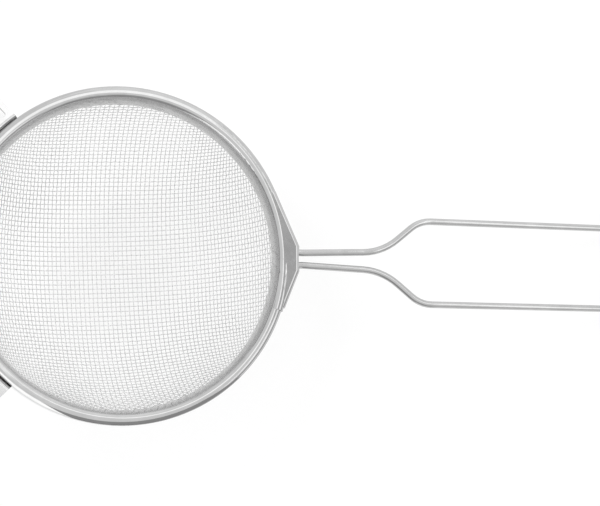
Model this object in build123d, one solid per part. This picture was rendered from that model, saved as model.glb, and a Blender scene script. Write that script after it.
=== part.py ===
"""Wire mesh strainer: a pressed woven bowl, a rolled steel rim, a looped wire handle and two rest ears.

The strainer lies on a table as it is put down: on the bottom of the bowl and the end of the handle.
It is drawn level first, with the ring's centre at the origin and the handle along +X, and then tipped
into that rest. World origin: the point of the table that the bowl touches. Millimetres, +Z up.
"""
import os
from math import acos, asin, cos, degrees, hypot, pi, radians, sin, tan

from build123d import *

# ---- driving dimensions -------------------------------------------------------------------------
rim_diameter = 120.0          # over the outer wall of the rim
sheet_thickness = 0.5         # rolled strip of the rim
outer_wall_drop = 6.2         # outer wall, below the ring's centre
inner_leg_length = 5.4        # inner leg, below the ring's centre
inner_leg_lean = 14.0         # degrees from upright, leaning into the bowl
seat_clearance = 0.03         # strip to ring, strip to mesh and mesh to ring

wire_diameter = 2.5           # one bent wire makes the ring and the handle
handle_reach = 205.0          # ring centre to the middle of the wire at the grip's end
root_bend_radius = 7.0        # where the wire turns out of the ring
neck_half_gap = 2.25          # wire centre to handle centre line, where the neck starts
neck_spread = 2.3             # degrees that each neck wire opens
neck_length = 30.5            # from the root bend to the corner of the neck bend
shoulder_angle = 39.5         # degrees between the shoulder wire and the handle
neck_bend_radius = 22.0
shoulder_bend_radius = 12.0
grip_half_width = 15.5        # wire centre to handle centre line, along the grip

mesh_wire_diameter = 0.32
bowl_depth = 48.6             # ring centre down to the middle of the mesh at the bottom
bowl_base_radius = 104.0
base_slope = 9.2              # degrees, where the flat bottom turns into the shoulder
shoulder_slope = 45.0         # degrees, where the shoulder turns into the wall
ridge_pitch = 12.2            # distance between ridges, measured along the bowl
ridge_width = 2.0
ridge_height = 0.32
gap_margin = 0.2              # mesh left standing beside each ridge and below the rim
smallest_gap = 1.2            # across the corner of a gap that the rim cuts short

gusset_length = 5.4           # ring centre line to the front face of the gusset
gusset_half_width = 4.6
gusset_edge_radius = 1.5
wire_slot_clearance = 0.1     # all round the two wires where they leave the gusset
seam_angle = 17.25            # where the strip's end is lapped over, degrees from the handle
seam_step = 0.9               # how far the gusset's side stands out at the seam
lap_rise = 0.45               # how far the lapped end stands up and out at the seam

ear_angle = 134.6             # degrees from the handle, one ear on each side
ear_width = 12.0
ear_thickness = 0.8
ear_reach = 13.5              # past the rim's outer wall
ear_bend_radius = 1.2
ear_foot_height = 5.0
ear_tip_drop = 3.2
trough_border = 1.8           # flat border on both sides of the ear's pressed trough
trough_depth = 0.7
trough_corner_radius = 1.2


# ---- plain helpers -------------------------------------------------------------------------------
def pair(vector):
    """The first two coordinates of a vector."""
    return (vector.X, vector.Y)


def polar(radius, angle):
    """Vector of the level drawing at a radius and an angle in degrees from the handle."""
    return Vector(radius * cos(radians(angle)), radius * sin(radians(angle)))


# ---- sizes that follow ---------------------------------------------------------------------------
wire_radius = wire_diameter / 2
mesh_thickness = 2 * mesh_wire_diameter
rim_radius = rim_diameter / 2
channel_radius = wire_radius + seat_clearance         # inside of the roll over the ring
crown_radius = channel_radius + sheet_thickness       # outside of the roll over the ring
ring_radius = rim_radius - crown_radius
lean = radians(inner_leg_lean)
leg_angle = 180 - inner_leg_lean                      # where the roll turns into the inner leg
leg_outward = Vector(cos(lean), -sin(lean))           # across the inner leg, away from the bowl
leg_run = Vector(-sin(lean), -cos(lean)) * inner_leg_length
ring_point = Vector(ring_radius, 0)                   # middle of the ring wire, in the rim's section
roll_point = ring_point - Vector((mesh_thickness + seat_clearance) / cos(lean), 0)
beyond = 2 * rim_diameter                             # past the whole rim, for cuts
gusset_front = ring_radius + gusset_length
root_far = ring_radius + root_bend_radius             # ring centre to the root bend's centre
root_angle = degrees(asin((neck_half_gap + root_bend_radius) / root_far))
root_centre = polar(root_far, root_angle)


# ---- the bowl's section --------------------------------------------------------------------------
# Middle line, from the axis out: base arc, shoulder arc, wall arc, straight edge inside the rim.
# The last two radii follow from the depth and from where the straight edge starts.
s1 = radians(base_slope)
s2 = radians(shoulder_slope)
s3 = pi / 2 - lean
edge_top = roll_point - leg_outward * (wire_radius - mesh_thickness / 2)
edge_foot = edge_top + leg_run
wall_run = edge_foot.X - bowl_base_radius * sin(s1)
wall_rise = bowl_depth + edge_foot.Y - bowl_base_radius * (1 - cos(s1))
lower_run, lower_rise = sin(s2) - sin(s1), cos(s1) - cos(s2)
upper_run, upper_rise = sin(s3) - sin(s2), cos(s2) - cos(s3)
share = lower_run * upper_rise - upper_run * lower_rise
bowl_shoulder_radius = (wall_run * upper_rise - wall_rise * upper_run) / share
bowl_wall_radius = (wall_rise * lower_run - wall_run * lower_rise) / share
base_centre = Vector(0, bowl_base_radius - bowl_depth)
shoulder_centre = base_centre + Vector(sin(s1), -cos(s1)) * (bowl_base_radius - bowl_shoulder_radius)
wall_centre = shoulder_centre + Vector(sin(s2), -cos(s2)) * (bowl_shoulder_radius - bowl_wall_radius)
bowl_arcs = [
    (base_centre, bowl_base_radius, 0.0, s1),
    (shoulder_centre, bowl_shoulder_radius, s1, s2),
    (wall_centre, bowl_wall_radius, s2, s3),
]


def bowl_line(offset_out, to_top):
    """The bowl's section moved outwards, with or without its straight edge inside the rim."""
    edges = []
    for centre, radius, start, end in bowl_arcs:
        slopes = (start, (start + end) / 2, end)
        points = [centre + Vector(sin(s), -cos(s)) * (radius + offset_out) for s in slopes]
        edges.append(ThreePointArc(*[pair(p) for p in points]))
    if to_top:
        edges.append(Line(edges[-1] @ 1, pair(edge_top + leg_outward * offset_out)))
    return edges


def bowl_layer(inner, outer, to_top):
    """The solid between two offsets of the bowl's section."""
    inside = bowl_line(inner, to_top)
    outside = bowl_line(outer, to_top)
    ends = [Line(inside[-1] @ 1, outside[-1] @ 1), Line(inside[0] @ 0, outside[0] @ 0)]
    return revolve(Plane.XZ * make_face(inside + outside + ends), Axis.Z)


def reach_along(arc_length):
    """Distance from the axis of the point this far along the bowl's arcs, or None past them."""
    left = arc_length
    for centre, radius, start, end in bowl_arcs:
        if left <= radius * (end - start):
            return centre.X + radius * sin(start + left / radius)
        left -= radius * (end - start)
    return None


def make_mesh_bowl():
    """Woven disc pressed into a bowl: ridges one way inside, the other way outside, gaps between."""
    places = [0.0]
    while reach_along(len(places) * ridge_pitch) is not None:
        places.append(reach_along(len(places) * ridge_pitch))
    lines = [-x for x in places[:0:-1]] + places
    under = Pos(0, 0, -beyond / 2)
    warp_plan = Sketch() + [Pos(x, 0) * Rectangle(ridge_width, beyond) for x in lines]
    warp = extrude(under * warp_plan, beyond)
    weft = Rot(0, 0, 90) * warp
    inset = ridge_width / 2 + gap_margin
    inside_rim = Cylinder(edge_foot.X - gap_margin, beyond)
    gaps = []
    for x0, x1 in zip(lines, lines[1:]):
        for y0, y1 in zip(lines, lines[1:]):
            gap = Pos((x0 + x1) / 2, (y0 + y1) / 2, 0) * Box(x1 - x0 - 2 * inset, y1 - y0 - 2 * inset, beyond)
            near_corner = hypot(min(abs(x0), abs(x1)) + inset, min(abs(y0), abs(y1)) + inset)
            far_corner = hypot(max(abs(x0), abs(x1)) - inset, max(abs(y0), abs(y1)) - inset)
            if far_corner < edge_foot.X - gap_margin:
                gaps.append(gap)
            elif near_corner < edge_foot.X - gap_margin - smallest_gap:
                gaps.append(gap & inside_rim)
    half = mesh_thickness / 2
    bowl = bowl_layer(-half, half, True) - gaps
    bowl += bowl_layer(-half - ridge_height, -half, False) & warp
    bowl += bowl_layer(half, half + ridge_height, False) & weft
    return bowl


# ---- ring and handle: one bent wire --------------------------------------------------------------
def make_frame_wire():
    """The wire's centre line is drawn for one side, swept, and mirrored across the handle."""
    spread = radians(neck_spread)
    splay = radians(shoulder_angle)
    root_end = root_centre + Vector(sin(spread), -cos(spread)) * root_bend_radius
    neck_corner = root_end + Vector(cos(spread), sin(spread)) * neck_length
    climb = grip_half_width - neck_corner.Y
    grip_corner = neck_corner + Vector(climb / tan(splay), climb)
    grip_straight_end = handle_reach - grip_half_width
    ring = CenterArc((0, 0), ring_radius, root_angle, 180 - root_angle)
    root = CenterArc(pair(root_centre), root_bend_radius, 180 + root_angle, 90 - root_angle + neck_spread)
    neck = FilletPolyline(
        pair(root_end), pair(neck_corner), pair(grip_corner), (grip_straight_end, grip_half_width),
        radius=[neck_bend_radius, shoulder_bend_radius],
    )
    grip_end = CenterArc((grip_straight_end, 0), grip_half_width, 0, 90)
    path = (ring + root + neck + grip_end).wire()
    side = sweep(Plane(origin=path @ 0, z_dir=path % 0) * Circle(wire_radius), path=path)
    return side + mirror(side, Plane.XZ)


# ---- rolled rim ----------------------------------------------------------------------------------
def strip_line(wall_radius, roll_radius):
    """One side of the strip's section: wall, roll over the ring, roll over the mesh, inner leg."""
    leg_top = roll_point + polar(roll_radius, leg_angle)
    roll_middle = roll_point + polar(roll_radius, (90 + leg_angle) / 2)
    over_ring = ring_point + polar(roll_radius, 90)
    over_mesh = roll_point + polar(roll_radius, 90)
    return [
        Line((wall_radius, -outer_wall_drop), (wall_radius, 0)),
        ThreePointArc((wall_radius, 0), pair(ring_point + polar(roll_radius, 45)), pair(over_ring)),
        Line(pair(over_ring), pair(over_mesh)),
        ThreePointArc(pair(over_mesh), pair(roll_middle), pair(leg_top)),
        Line(pair(leg_top), pair(leg_top + leg_run)),
    ]


def strip_section(outside, inside):
    """Face of the strip itself, between its two sides."""
    ends = [Line(outside[0] @ 0, inside[0] @ 0), Line(outside[-1] @ 1, inside[-1] @ 1)]
    return Plane.XZ * make_face(outside + inside + ends)


def channel_section(inside):
    """Face of the space inside the strip, open far below."""
    low = -2 * outer_wall_drop
    wall_foot = inside[0] @ 0
    leg_foot = inside[-1] @ 1
    ends = [Line(leg_foot, (leg_foot.X, low)), Line((leg_foot.X, low), (wall_foot.X, low)),
            Line((wall_foot.X, low), wall_foot)]
    return Plane.XZ * make_face(inside + ends)


def make_gusset(plan, bottom, top, edge_radius):
    """Wedge that the strip is drawn out to, round edged on top, outside the ring's centre line."""
    foot = Pos(0, 0, bottom)
    gusset = extrude(foot * plan, top - bottom) - extrude(foot * Circle(ring_radius), top - bottom)
    top_edges = gusset.edges().group_by(Axis.Z)[-1].filter_by(GeomType.LINE)
    outer_edges = [e for e in top_edges if hypot(e.center().X, e.center().Y) > ring_radius + edge_radius]
    return fillet(outer_edges, edge_radius)


def make_lap(section):
    """The strip's end, which rides up and out over its start and settles again by the handle."""
    turn = sin(radians(seam_angle))
    lap = Rot(0, 0, -seam_angle) * revolve(section, Axis.Z, seam_angle)
    lap = Rot(-degrees(lap_rise / (rim_radius * turn)), 0, 0) * lap
    return Pos(0, -lap_rise / turn, 0) * lap


def make_rim_band():
    """Strip rolled over the ring and the mesh's edge, drawn out to a gusset where the handle leaves."""
    corner_reach = hypot(gusset_front, gusset_half_width)
    touch_angle = degrees(asin(gusset_half_width / corner_reach) + acos(rim_radius / corner_reach))
    plan = make_face(Polyline(
        (0, 0), pair(polar(rim_radius + seam_step, -seam_angle)), (gusset_front, -gusset_half_width),
        (gusset_front, gusset_half_width), pair(polar(rim_radius, touch_angle)), close=True,
    ))
    outside = strip_line(rim_radius, crown_radius)
    inside = strip_line(rim_radius - sheet_thickness, channel_radius)
    section = strip_section(outside, inside)
    band = revolve(section, Axis.Z)
    band += make_gusset(plan, -outer_wall_drop, crown_radius, gusset_edge_radius)
    band += make_lap(section)
    band -= revolve(channel_section(inside), Axis.Z)
    inner_plan = offset(plan, -sheet_thickness)
    inner_radius = gusset_edge_radius - sheet_thickness
    band -= make_gusset(inner_plan, -2 * outer_wall_drop, channel_radius, inner_radius)
    bend_left = root_centre.X - (gusset_front - gusset_edge_radius)
    wires_half_width = root_centre.Y - (root_bend_radius ** 2 - bend_left ** 2) ** 0.5 + wire_radius
    slot_height = wire_diameter + 2 * wire_slot_clearance
    slot = SlotOverall(2 * (wires_half_width + wire_slot_clearance), slot_height, rotation=90)
    wire_way = extrude(slot, sheet_thickness + gusset_edge_radius, both=True)
    return band - Pos(gusset_front, 0, 0) * Rot(0, 90, 0) * wire_way


# ---- rest ears -----------------------------------------------------------------------------------
def make_ear(angle):
    """Pressed tab: a foot on the rim's outer wall, a plate with a trough, and a tip turned down."""
    outer_bend = ear_bend_radius + ear_thickness
    tip = rim_radius + ear_reach
    foot_face = rim_radius + ear_thickness
    upper = FilletPolyline(
        (rim_radius, -ear_foot_height), (rim_radius, 0), (tip, 0), (tip, -ear_tip_drop),
        radius=outer_bend,
    )
    lower = FilletPolyline(
        (foot_face, -ear_foot_height), (foot_face, -ear_thickness),
        (tip - ear_thickness, -ear_thickness), (tip - ear_thickness, -ear_tip_drop),
        radius=ear_bend_radius,
    )
    ends = [Line(upper @ 0, lower @ 0), Line(upper @ 1, lower @ 1)]
    side = Plane.XZ * make_face(list(upper.edges()) + list(lower.edges()) + ends)
    spread = 2 * degrees(ear_width / rim_radius)
    ear = Rot(0, 0, -spread / 2) * revolve(side, Axis.Z, spread)
    ear &= Box(beyond, ear_width, beyond)
    trough_start = rim_radius + outer_bend + ear_thickness
    trough_end = tip - outer_bend - ear_thickness
    trough_length = trough_end - trough_start
    trough_width = ear_width - 2 * trough_border - ear_thickness
    middle = Pos((trough_start + trough_end) / 2, 0, 0)
    bulge = RectangleRounded(
        trough_length + 2 * ear_thickness, trough_width + 2 * ear_thickness,
        trough_corner_radius + ear_thickness)
    recess = RectangleRounded(trough_length, trough_width, trough_corner_radius)
    ear += middle * extrude(bulge, -ear_thickness - trough_depth)
    ear -= middle * extrude(recess, -trough_depth)
    return Rot(0, 0, angle) * ear


# ---- rest on the table ---------------------------------------------------------------------------
outer_skin = mesh_thickness / 2 + ridge_height


def bowl_touch(tilt):
    """The bowl's lowest point in the level section once the handle is tipped down by an angle."""
    on_base = tilt < s1
    centre = base_centre if on_base else shoulder_centre
    radius = bowl_base_radius if on_base else bowl_shoulder_radius
    return centre + Vector(sin(tilt), -cos(tilt)) * (radius + outer_skin)


def rest_tilt():
    """Tilt at which the bowl and the end of the grip reach down equally far."""
    low, high = 0.0, s2
    while high - low > radians(1e-9):
        tilt = (low + high) / 2
        down = Vector(sin(tilt), -cos(tilt))
        if bowl_touch(tilt).dot(down) > handle_reach * sin(tilt) + wire_radius:
            low = tilt
        else:
            high = tilt
    return low


tilt = rest_tilt()
touch = bowl_touch(tilt)
touch_x = touch.X * cos(tilt) + touch.Y * sin(tilt)
touch_z = touch.Y * cos(tilt) - touch.X * sin(tilt)
at_rest = Pos(-touch_x, 0, -touch_z) * Rot(0, degrees(tilt), 0)

nodes = {
    "frame_wire": make_frame_wire(),
    "rim_band": make_rim_band(),
    "mesh_bowl": make_mesh_bowl(),
    "rest_ear_left": make_ear(ear_angle),
    "rest_ear_right": make_ear(-ear_angle),
}
os.makedirs("parts", exist_ok=True)
for name, solid in nodes.items():
    export_step(at_rest * solid, "parts/" + name + ".step")
print("tilt at rest", round(degrees(tilt), 2), "degrees")
print("ring centre", [round(c, 3) for c in (at_rest * Pos(0, 0, 0)).position])
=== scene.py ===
"""Looks of the wire mesh strainer: bright stainless rim, wire and ears, and the woven bowl.

The bowl is made here wire by wire. Its wires cross at nearly even steps, as in cloth that is
pressed into a round bowl without stretching, so the square mesh of the bottom shears towards
the rim. Metres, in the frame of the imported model.
"""
import random
from math import cos, hypot, pi, radians, sin, tan

import bpy
import numpy as np
from mathutils import Matrix, Vector


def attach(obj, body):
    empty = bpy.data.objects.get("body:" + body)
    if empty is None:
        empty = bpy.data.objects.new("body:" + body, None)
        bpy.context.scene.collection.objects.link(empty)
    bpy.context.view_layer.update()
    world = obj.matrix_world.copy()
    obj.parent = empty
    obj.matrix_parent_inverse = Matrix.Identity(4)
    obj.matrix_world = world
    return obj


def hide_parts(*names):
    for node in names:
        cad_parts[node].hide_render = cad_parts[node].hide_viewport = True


MM = 0.001
RIM_PIECE = "rim_band"
WIRE_PIECE = "frame_wire"
EAR_PIECES = ("rest_ear_left", "rest_ear_right")

# ---- the ring, as the strainer lies on the table ----
TILT = radians(13.94)         # how far the ring is tipped down towards the handle
RING_CENTRE = Vector((-7.9, 0.0, 50.65)) * MM
RING_AXIS = Vector((sin(TILT), 0.0, cos(TILT)))

# ---- camera ----
IMAGE_WIDTH = 600
FOCAL_PIXELS = 1480.0
SENSOR_WIDTH = 36.0
LOOK_AT = Vector((54.869, 6.994, 0.0)) * MM
CAMERA_DISTANCE = 571.374 * MM
CAMERA_PITCH = -0.1350        # radians, about the picture's horizontal
CAMERA_YAW = 0.0187
CAMERA_ROLL = 0.0042
CAMERA_CLIP = 10 * MM

# ---- the bowl's section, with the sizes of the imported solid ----
RIM_RADIUS = 60.0 * MM
SHEET_THICKNESS = 0.5 * MM
SEAT_CLEARANCE = 0.03 * MM
RING_WIRE = 2.5 * MM
INNER_LEG = 5.4 * MM
EDGE_LEAN = radians(14.0)
HANDLE_REACH = 205.0 * MM
MESH_WIRE = 0.32 * MM
BOWL_DEPTH = 48.6 * MM
BASE_RADIUS = 104.0 * MM
RIDGE_HEIGHT = 0.32 * MM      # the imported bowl's ridges, which it rests on
BASE_SLOPE = radians(9.2)
SHOULDER_SLOPE = radians(45.0)

# ---- the weave ----
WARP_STEP = 1.70 * MM         # between wires that run across the handle
WEFT_STEP = 1.80 * MM         # between wires that run along it
WEAVE_YAW = radians(3.0)
STEP_SPREAD = 0.02            # how unevenly the wires are spaced
FLAT_SHARE = 0.1              # of a step, each side of a crossing, where a wire runs level
WARP_SEED = 3
WEFT_SEED = 13
MOST_WIRES = 60               # either side of the middle, more than the bowl needs
WIRE_SIDES = 6
HIDDEN_EDGE = 4.4 * MM        # how far the mesh goes up inside the rim
MOST_ROUNDS = 12              # of Newton's method, for one crossing
TINY = 1e-9
FINEST_TILT = 1e-11           # radians

# ---- steel ----
TONE_SPREAD = 0.03            # clouds of lighter and darker metal
CLOUD_SIZE = 6 * MM
POLISH_SPREAD = 0.04          # and of smoother and duller polish
POLISH_SIZE = 2 * MM
NOISE_LOW, NOISE_HIGH = 0.3, 0.7
CREASE_PAINTED_SHADE = (                # painted shade in the crease beside the ring wire: height above the ring's centre, and share of the strip's tone
    (-5.0 * MM, 1.0),
    (-2.6 * MM, 0.84),
    (-0.5 * MM, 0.6),
    (0.5 * MM, 0.56),
    (1.25 * MM, 0.78),
    (1.8 * MM, 0.8),
)

# ---- studio ----
FLOOR_SIZE = 40
FLOOR_TONE = 0.9
FLOOR_GLOW = 1.052            # what the eye and the metal see in place of the paper
GLOW_SHARE = 0.72             # the rest of it is the paper itself, with its shade
FAR_REACH = 1.5               # from the bowl to the cards that stand around it
NEAR_REACH = 112 * MM         # and to the low ones close to it
WALL_STEP = 5                 # degrees that one flat of a bent card covers
DISC_SIDES = 36


# ---- the bowl as a surface of revolution ----
class Bowl:
    """The middle surface of the mesh, level, with the ring's centre as origin."""

    def __init__(self):
        ring = RIM_RADIUS - RING_WIRE / 2 - SEAT_CLEARANCE - SHEET_THICKNESS
        thickness = 2 * MESH_WIRE
        across = Vector((cos(EDGE_LEAN), -sin(EDGE_LEAN)))
        roll = Vector((ring - (thickness + SEAT_CLEARANCE) / cos(EDGE_LEAN), 0))
        self.edge_top = roll - across * (RING_WIRE / 2 - thickness / 2)
        self.edge_foot = self.edge_top + Vector((-sin(EDGE_LEAN), -cos(EDGE_LEAN))) * INNER_LEG
        s1, s2, s3 = BASE_SLOPE, SHOULDER_SLOPE, pi / 2 - EDGE_LEAN
        run = self.edge_foot.x - BASE_RADIUS * sin(s1)
        rise = BOWL_DEPTH + self.edge_foot.y - BASE_RADIUS * (1 - cos(s1))
        lower = Vector((sin(s2) - sin(s1), cos(s1) - cos(s2)))
        upper = Vector((sin(s3) - sin(s2), cos(s2) - cos(s3)))
        share = lower.x * upper.y - upper.x * lower.y
        shoulder_radius = (run * upper.y - rise * upper.x) / share
        wall_radius = (rise * lower.x - run * lower.y) / share
        base_centre = Vector((0, BASE_RADIUS - BOWL_DEPTH))
        outwards = Vector((sin(s1), -cos(s1)))
        shoulder_centre = base_centre + outwards * (BASE_RADIUS - shoulder_radius)
        outwards = Vector((sin(s2), -cos(s2)))
        wall_centre = shoulder_centre + outwards * (shoulder_radius - wall_radius)
        self.arcs = [
            (base_centre, BASE_RADIUS, 0.0, s1),
            (shoulder_centre, shoulder_radius, s1, s2),
            (wall_centre, wall_radius, s2, s3),
        ]
        self.edge_slope = s3

    def section(self, distance):
        """Height and slope of the surface this far from the axis."""
        for centre, radius, start, end in self.arcs:
            if distance <= centre.x + radius * sin(end):
                slope = np.arcsin((distance - centre.x) / radius)
                return centre.y - radius * cos(slope), slope
        beyond = distance - self.edge_foot.x
        return self.edge_foot.y + beyond * tan(self.edge_slope), self.edge_slope

    def along(self, length):
        """Distance from the axis of the point this far up the section from the bottom."""
        for centre, radius, start, end in self.arcs:
            if length <= radius * (end - start):
                return centre.x + radius * sin(start + length / radius)
            length -= radius * (end - start)
        return self.edge_foot.x + length * cos(self.edge_slope)

    def point(self, x, y):
        """Point of the surface above or below this place of the level drawing."""
        return np.array((x, y, self.section(hypot(x, y))[0]))

    def normal(self, point):
        """Unit normal out of the bowl."""
        distance = hypot(point[0], point[1])
        slope = self.section(distance)[1]
        if distance < TINY:
            return np.array((0.0, 0.0, -1.0))
        lean = sin(slope)
        return np.array((lean * point[0] / distance, lean * point[1] / distance, -cos(slope)))

    def rest_matrix(self):
        """The level drawing tipped until the bowl and the grip's end both touch the table."""
        skin = MESH_WIRE + RIDGE_HEIGHT
        low, high = 0.0, SHOULDER_SLOPE
        while high - low > FINEST_TILT:
            tilt = (low + high) / 2
            touch = self.lowest(tilt, skin)
            down = Vector((sin(tilt), -cos(tilt)))
            if touch.dot(down) > HANDLE_REACH * sin(tilt) + RING_WIRE / 2:
                low = tilt
            else:
                high = tilt
        touch = self.lowest(low, skin)
        turn = Matrix.Rotation(low, 4, "Y")
        foot = turn @ Vector((touch.x, 0, touch.y))
        return Matrix.Translation(-foot) @ turn

    def lowest(self, tilt, skin):
        """Lowest point of the section, with a skin of this thickness, once it is tipped."""
        centre, radius = self.arcs[0][:2] if tilt < BASE_SLOPE else self.arcs[1][:2]
        return centre + Vector((sin(tilt), -cos(tilt))) * (radius + skin)


# ---- the weave ----
def uneven_steps(step, count, seed):
    """Steps between neighbouring wires, a little uneven, as a loom leaves them."""
    draw = random.Random(seed)
    return [step * (1 + STEP_SPREAD * draw.uniform(-1, 1)) for _ in range(count)]


def next_crossing(bowl, side, below, side_step, below_step, guess):
    """Point of the bowl at given distances from two other crossings, by Newton's method."""
    x, y = guess[0], guess[1]
    for _ in range(MOST_ROUNDS):
        distance = hypot(x, y)
        z, slope = bowl.section(distance)
        rise = tan(slope) / max(distance, TINY)
        to_side = (x - side[0], y - side[1], z - side[2])
        to_below = (x - below[0], y - below[1], z - below[2])
        f1 = to_side[0] ** 2 + to_side[1] ** 2 + to_side[2] ** 2 - side_step ** 2
        f2 = to_below[0] ** 2 + to_below[1] ** 2 + to_below[2] ** 2 - below_step ** 2
        a = 2 * (to_side[0] + to_side[2] * rise * x)
        b = 2 * (to_side[1] + to_side[2] * rise * y)
        c = 2 * (to_below[0] + to_below[2] * rise * x)
        d = 2 * (to_below[1] + to_below[2] * rise * y)
        size = a * d - b * c
        dx, dy = (d * f1 - b * f2) / size, (a * f2 - c * f1) / size
        x, y = x - dx, y - dy
        if abs(dx) + abs(dy) < TINY:
            return bowl.point(x, y)
    return None


def crossings(bowl):
    """Places of all crossings out to just past the edge, by the numbers of their two wires."""
    reach = bowl.edge_foot.x + HIDDEN_EDGE * cos(bowl.edge_slope) + WEFT_STEP
    net = {(0, 0): bowl.point(0, 0)}
    for sign_x in (1, -1):
        for sign_y in (1, -1):
            across = uneven_steps(WARP_STEP, MOST_WIRES, WARP_SEED + sign_x)
            along = uneven_steps(WEFT_STEP, MOST_WIRES, WEFT_SEED + sign_y)
            for i in range(1, MOST_WIRES):
                distance = bowl.along(sum(across[:i]))
                if distance < reach:
                    net[(sign_x * i, 0)] = bowl.point(sign_x * distance, 0)
                distance = bowl.along(sum(along[:i]))
                if distance < reach:
                    net[(0, sign_y * i)] = bowl.point(0, sign_y * distance)
            for j in range(1, MOST_WIRES):
                for i in range(1, MOST_WIRES):
                    side = net.get((sign_x * (i - 1), sign_y * j))
                    below = net.get((sign_x * i, sign_y * (j - 1)))
                    if side is None or below is None:
                        break
                    guess = side + below - net[(sign_x * (i - 1), sign_y * (j - 1))]
                    place = next_crossing(bowl, side, below, across[i - 1], along[j - 1], guess)
                    if place is None or hypot(place[0], place[1]) > reach:
                        break
                    net[(sign_x * i, sign_y * j)] = place
    return net


def wire_lines(bowl, net, along_x):
    """Middle line of each wire of one set, waving over and under the wires that it crosses."""
    edge = bowl.edge_foot.x + HIDDEN_EDGE * cos(bowl.edge_slope)
    rows = {}
    for (i, j), place in net.items():
        key, number = (j, i) if along_x else (i, j)
        rows.setdefault(key, {})[number] = place
    lines = []
    for key in sorted(rows):
        numbers = sorted(rows[key])
        places = [rows[key][n] for n in numbers]
        lifts = [1 if (key + n + along_x) % 2 else -1 for n in numbers]
        keep = [k for k, p in enumerate(places) if hypot(p[0], p[1]) <= edge]
        if len(keep) < 2:
            continue
        first, last = keep[0], keep[-1]
        line = []
        for k in range(first, last + 1):
            place = places[k]
            lift = bowl.normal(place) * lifts[k] * MESH_WIRE / 2
            if k > first:
                line.append(place + (places[k - 1] - place) * FLAT_SHARE + lift)
            if k < last:
                line.append(place + (places[k + 1] - place) * FLAT_SHARE + lift)
        lines.append(np.array(line))
    return lines


def tube_mesh(name, lines, radius):
    """One mesh of closed tubes along the given lines."""
    corners, faces = [], []
    start = 0
    turn = np.arange(WIRE_SIDES) * 2 * pi / WIRE_SIDES
    for line in lines:
        ahead = np.vstack([line[1:] - line[:-1], line[-1:] - line[-2:-1]])
        ahead /= np.linalg.norm(ahead, axis=1)[:, None]
        tangent = ahead.copy()
        tangent[1:] += ahead[:-1]
        tangent /= np.linalg.norm(tangent, axis=1)[:, None]
        up = np.array((0.0, 0.0, 1.0))
        side = np.cross(tangent, up)
        side /= np.linalg.norm(side, axis=1)[:, None]
        over = np.cross(side, tangent)
        ring = side[:, None, :] * np.cos(turn)[None, :, None]
        ring = ring + over[:, None, :] * np.sin(turn)[None, :, None]
        corners.append((line[:, None, :] + radius * ring).reshape(-1, 3))
        count = len(line)
        for k in range(count - 1):
            low = start + k * WIRE_SIDES
            for s in range(WIRE_SIDES):
                nxt = (s + 1) % WIRE_SIDES
                faces.append((low + s, low + nxt, low + WIRE_SIDES + nxt, low + WIRE_SIDES + s))
        faces.append(tuple(start + s for s in reversed(range(WIRE_SIDES))))
        faces.append(tuple(start + (count - 1) * WIRE_SIDES + s for s in range(WIRE_SIDES)))
        start += count * WIRE_SIDES
    mesh = bpy.data.meshes.new(name)
    mesh.from_pydata(np.vstack(corners).tolist(), [], faces)
    mesh.shade_smooth()
    piece = bpy.data.objects.new(name, mesh)
    bpy.context.scene.collection.objects.link(piece)
    return piece


def make_weave(bowl, material):
    """Both sets of wires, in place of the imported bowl."""
    net = crossings(bowl)
    place = bowl.rest_matrix() @ Matrix.Rotation(WEAVE_YAW, 4, "Z")
    for name, along_x in (("warp_wires", False), ("weft_wires", True)):
        piece = tube_mesh(name, wire_lines(bowl, net, along_x), MESH_WIRE / 2)
        piece.data.transform(place)
        piece.data.materials.append(material)
        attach(piece, "root")
        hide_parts("mesh_bowl")
        print(name, "triangles", sum(len(p.vertices) - 2 for p in piece.data.polygons))


# ---- materials ----
def steel(name, tone, roughness, ripple_size, ripple_height):
    """Bright stainless steel with faint ripples, a slightly uneven polish and a cloudy tone."""
    material = bpy.data.materials.new(name)
    material.use_nodes = True
    nodes, links = material.node_tree.nodes, material.node_tree.links
    shader = nodes["Principled BSDF"]
    shader.inputs["Metallic"].default_value = 1.0
    place = nodes.new("ShaderNodeTexCoord")

    def noise(size, detail):
        node = nodes.new("ShaderNodeTexNoise")
        node.inputs["Scale"].default_value = 1 / size
        node.inputs["Detail"].default_value = detail
        links.new(place.outputs["Object"], node.inputs["Vector"])
        return node.outputs["Fac"]

    def spread(value, middle, reach):
        node = nodes.new("ShaderNodeMapRange")
        node.inputs["From Min"].default_value = NOISE_LOW
        node.inputs["From Max"].default_value = NOISE_HIGH
        node.inputs["To Min"].default_value = middle - reach
        node.inputs["To Max"].default_value = middle + reach
        links.new(value, node.inputs["Value"])
        return node.outputs["Result"]

    clouds = spread(noise(CLOUD_SIZE, 3.0), tone, TONE_SPREAD)
    links.new(clouds, shader.inputs["Base Color"])
    polish = spread(noise(POLISH_SIZE, 4.0), roughness, POLISH_SPREAD)
    links.new(polish, shader.inputs["Roughness"])
    bump = nodes.new("ShaderNodeBump")
    bump.inputs["Strength"].default_value = 1.0
    bump.inputs["Distance"].default_value = ripple_height
    links.new(noise(ripple_size, 1.0), bump.inputs["Height"])
    links.new(bump.outputs["Normal"], shader.inputs["Normal"])
    return material


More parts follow.
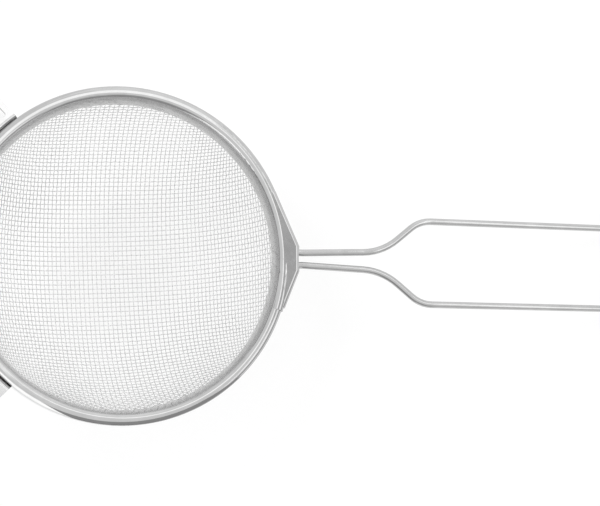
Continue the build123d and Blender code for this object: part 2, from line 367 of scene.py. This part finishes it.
def paint_crease_shade(material, stops):
    """Darken the tone by height along the ring's axis: painted shade, darkest in the crease
    beside the wire.
    """
    nodes, links = material.node_tree.nodes, material.node_tree.links
    shader = nodes["Principled BSDF"]
    tone = shader.inputs["Base Color"].links[0].from_socket
    place = nodes.new("ShaderNodeTexCoord")
    height = nodes.new("ShaderNodeVectorMath")
    height.operation = "DOT_PRODUCT"
    height.inputs[1].default_value = RING_AXIS
    links.new(place.outputs["Object"], height.inputs[0])
    low, high = stops[0][0], stops[-1][0]
    share = nodes.new("ShaderNodeMapRange")
    share.inputs["From Min"].default_value = RING_CENTRE.dot(RING_AXIS) + low
    share.inputs["From Max"].default_value = RING_CENTRE.dot(RING_AXIS) + high
    links.new(height.outputs["Value"], share.inputs["Value"])
    ramp = nodes.new("ShaderNodeValToRGB")
    ramp.color_ramp.interpolation = "EASE"
    while len(ramp.color_ramp.elements) < len(stops):
        ramp.color_ramp.elements.new(0.5)
    for element, (level, dark) in zip(ramp.color_ramp.elements, stops):
        element.position = (level - low) / (high - low)
        element.color = (dark, dark, dark, 1)
    links.new(share.outputs["Result"], ramp.inputs["Fac"])
    product = nodes.new("ShaderNodeMath")
    product.operation = "MULTIPLY"
    links.new(tone, product.inputs[0])
    links.new(ramp.outputs["Color"], product.inputs[1])
    links.new(product.outputs[0], shader.inputs["Base Color"])
    return material


def dress(node, material):
    """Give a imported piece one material."""
    for slot in node.material_slots:
        slot.material = material


# ---- stage ----
def make_floor():
    """Ground that is white to the eye and in the metal, with a quarter of its true shade."""
    bpy.ops.mesh.primitive_plane_add(size=FLOOR_SIZE)
    floor = bpy.context.object
    floor.name = "floor"
    material = bpy.data.materials.new("ground")
    material.use_nodes = True
    nodes, links = material.node_tree.nodes, material.node_tree.links
    nodes.clear()
    paper = nodes.new("ShaderNodeBsdfDiffuse")
    paper.inputs["Color"].default_value = (FLOOR_TONE, FLOOR_TONE, FLOOR_TONE, 1)
    glow = nodes.new("ShaderNodeEmission")
    glow.inputs["Strength"].default_value = FLOOR_GLOW
    path = nodes.new("ShaderNodeLightPath")
    seen = path.outputs["Is Camera Ray"]
    for kind in ("Is Glossy Ray", "Is Transmission Ray"):
        either = nodes.new("ShaderNodeMath")
        either.operation = "MAXIMUM"
        links.new(seen, either.inputs[0])
        links.new(path.outputs[kind], either.inputs[1])
        seen = either.outputs[0]
    share = nodes.new("ShaderNodeMath")
    share.operation = "MULTIPLY"
    share.inputs[1].default_value = GLOW_SHARE
    links.new(seen, share.inputs[0])
    mix = nodes.new("ShaderNodeMixShader")
    links.new(share.outputs[0], mix.inputs["Fac"])
    links.new(paper.outputs[0], mix.inputs[1])
    links.new(glow.outputs[0], mix.inputs[2])
    out = nodes.new("ShaderNodeOutputMaterial")
    links.new(mix.outputs[0], out.inputs["Surface"])
    floor.data.materials.append(material)


def make_world():
    """Plain white all round."""
    world = bpy.data.worlds.new("studio")
    bpy.context.scene.world = world
    world.use_nodes = True
    back = world.node_tree.nodes["Background"]
    back.inputs["Color"].default_value = (1, 1, 1, 1)
    back.inputs["Strength"].default_value = 1.0


def make_card(name, corners, faces, tone):
    """A plain glowing card that only the bright metal mirrors: nothing else sees it."""
    mesh = bpy.data.meshes.new(name)
    mesh.from_pydata(corners, [], faces)
    card = bpy.data.objects.new(name, mesh)
    bpy.context.scene.collection.objects.link(card)
    material = bpy.data.materials.new(name)
    material.use_nodes = True
    nodes, links = material.node_tree.nodes, material.node_tree.links
    nodes.clear()
    glow = nodes.new("ShaderNodeEmission")
    glow.inputs["Strength"].default_value = tone
    out = nodes.new("ShaderNodeOutputMaterial")
    links.new(glow.outputs[0], out.inputs["Surface"])
    card.data.materials.append(material)
    card.visible_camera = False
    card.visible_diffuse = False
    card.visible_shadow = False


def make_wall(name, reach, start, end, low, high, tone):
    """A card bent round the bowl, between two azimuths in degrees and two heights."""
    count = max(2, round((end - start) / WALL_STEP))
    corners, faces = [], []
    for k in range(count + 1):
        turn = radians(start + (end - start) * k / count)
        for height in (low, high):
            corners.append((RING_CENTRE.x + reach * cos(turn), reach * sin(turn), height))
    for k in range(count):
        faces.append((2 * k, 2 * k + 2, 2 * k + 3, 2 * k + 1))
    make_card(name, corners, faces, tone)


def far_wall(name, start, end, low, high, tone):
    """The same far away, between two elevations in degrees."""
    foot, top = (FAR_REACH * tan(radians(elevation)) for elevation in (low, high))
    make_wall(name, FAR_REACH, start, end, foot, top, tone)


def make_disc(name, azimuth, elevation, distance, wide, high, tone):
    """An oval card that faces the bowl, with half its width and height given in degrees."""
    turn, rise = radians(azimuth), radians(elevation)
    away = Vector((cos(turn) * cos(rise), sin(turn) * cos(rise), sin(rise)))
    across = Vector((-sin(turn), cos(turn), 0)) * tan(radians(wide))
    up = Vector((-cos(turn) * sin(rise), -sin(turn) * sin(rise), cos(rise))) * tan(radians(high))
    turns = [2 * pi * k / DISC_SIDES for k in range(DISC_SIDES)]
    corners = [RING_CENTRE + distance * (away + cos(t) * across + sin(t) * up) for t in turns]
    make_card(name, corners, [tuple(range(DISC_SIDES))], tone)


def make_lamp(name, azimuth, elevation, distance, width, height, level):
    """A soft box that faces the object. Its level is its brightness: the white world has 1."""
    lamp = bpy.data.lights.new(name, "AREA")
    lamp.shape = "RECTANGLE"
    lamp.size, lamp.size_y = width, height
    lamp.energy = level * pi * width * height
    box = bpy.data.objects.new(name, lamp)
    turn, rise = radians(azimuth), radians(elevation)
    place = distance * Vector((cos(turn) * cos(rise), sin(turn) * cos(rise), sin(rise)))
    facing = place.to_track_quat("Z", "Y").to_matrix().to_4x4()
    box.matrix_world = Matrix.Translation(place) @ facing
    box.visible_glossy = False
    bpy.context.scene.collection.objects.link(box)


def make_camera():
    """Camera of the photo, almost straight above."""
    data = bpy.data.cameras.new("camera")
    data.sensor_width = SENSOR_WIDTH
    data.sensor_fit = "HORIZONTAL"
    data.lens = SENSOR_WIDTH * FOCAL_PIXELS / IMAGE_WIDTH
    data.clip_start = CAMERA_CLIP
    camera = bpy.data.objects.new("camera", data)
    view = (Matrix.Rotation(CAMERA_ROLL, 3, "Z") @ Matrix.Rotation(CAMERA_PITCH, 3, "X")
            @ Matrix.Rotation(CAMERA_YAW, 3, "Y"))
    stand = LOOK_AT + CAMERA_DISTANCE * view[2]
    camera.matrix_world = Matrix.Translation(stand) @ view.transposed().to_4x4()
    bpy.context.scene.collection.objects.link(camera)
    bpy.context.scene.camera = camera


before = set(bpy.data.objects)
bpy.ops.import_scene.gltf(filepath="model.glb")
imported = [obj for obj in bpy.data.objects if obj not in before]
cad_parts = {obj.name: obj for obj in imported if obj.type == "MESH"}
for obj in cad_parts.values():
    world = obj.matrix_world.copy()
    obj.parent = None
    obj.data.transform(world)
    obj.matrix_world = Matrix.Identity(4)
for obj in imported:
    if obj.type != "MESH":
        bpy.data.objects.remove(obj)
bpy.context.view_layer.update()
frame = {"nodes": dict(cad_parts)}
bpy.context.scene.view_settings.view_transform = "Standard"
make_camera()
make_world()
make_floor()
make_lamp("key", azimuth=130, elevation=50, distance=1.1, width=0.4, height=0.4, level=4.0)

# Low cards close to the bowl: two azimuths, two heights, and the tone, where the world has 1.
make_wall("near_front", NEAR_REACH, -108, -42, 1 * MM, 125 * MM, 0.42)
make_wall("near_left", NEAR_REACH, -150, -108, 1 * MM, 130 * MM, 1.85)
# Far cards: two azimuths, two elevations, tone.
far_wall("front", -112, -66, 0, 46, 0.52)
far_wall("front_side", -66, -44, 0, 46, 0.74)
far_wall("right", -44, 5, 0, 24, 0.5)
far_wall("left", 132, 215, 0, 25, 0.5)
far_wall("back", 50, 92, 0, 50, 1.15)
# Mirrored by the crown of the rim, the tops of the wires and the gusset: azimuth, elevation,
# distance, half the width and half the height in degrees, tone.
make_disc("crown_light", 32, 69, 1.5, 9.5, 9.5, 1.65)
make_disc("wire_light", 10, 47.5, 1.5, 28, 5, 1.75)
make_disc("top_dark", 15, 58.5, 1.4, 4, 3.5, 0.62)

# Each steel has a tone, a roughness, and the size and height of its ripples.
nodes = frame["nodes"]
dress(nodes[WIRE_PIECE], steel("drawn_wire", 0.52, 0.1, 5 * MM, 0.02 * MM))
strip = steel("rolled_strip", 0.68, 0.08, 7 * MM, 0.03 * MM)
# The strip's tone is darkened by height, as painted shade in the crease beside the ring wire.
dress(nodes[RIM_PIECE], paint_crease_shade(strip, CREASE_PAINTED_SHADE))
for name in EAR_PIECES:
    dress(nodes[name], steel(name + "_steel", 0.64, 0.18, 5 * MM, 0.02 * MM))
make_weave(Bowl(), steel("fine_wire", 0.81, 0.25, 1 * MM, 0.002 * MM))
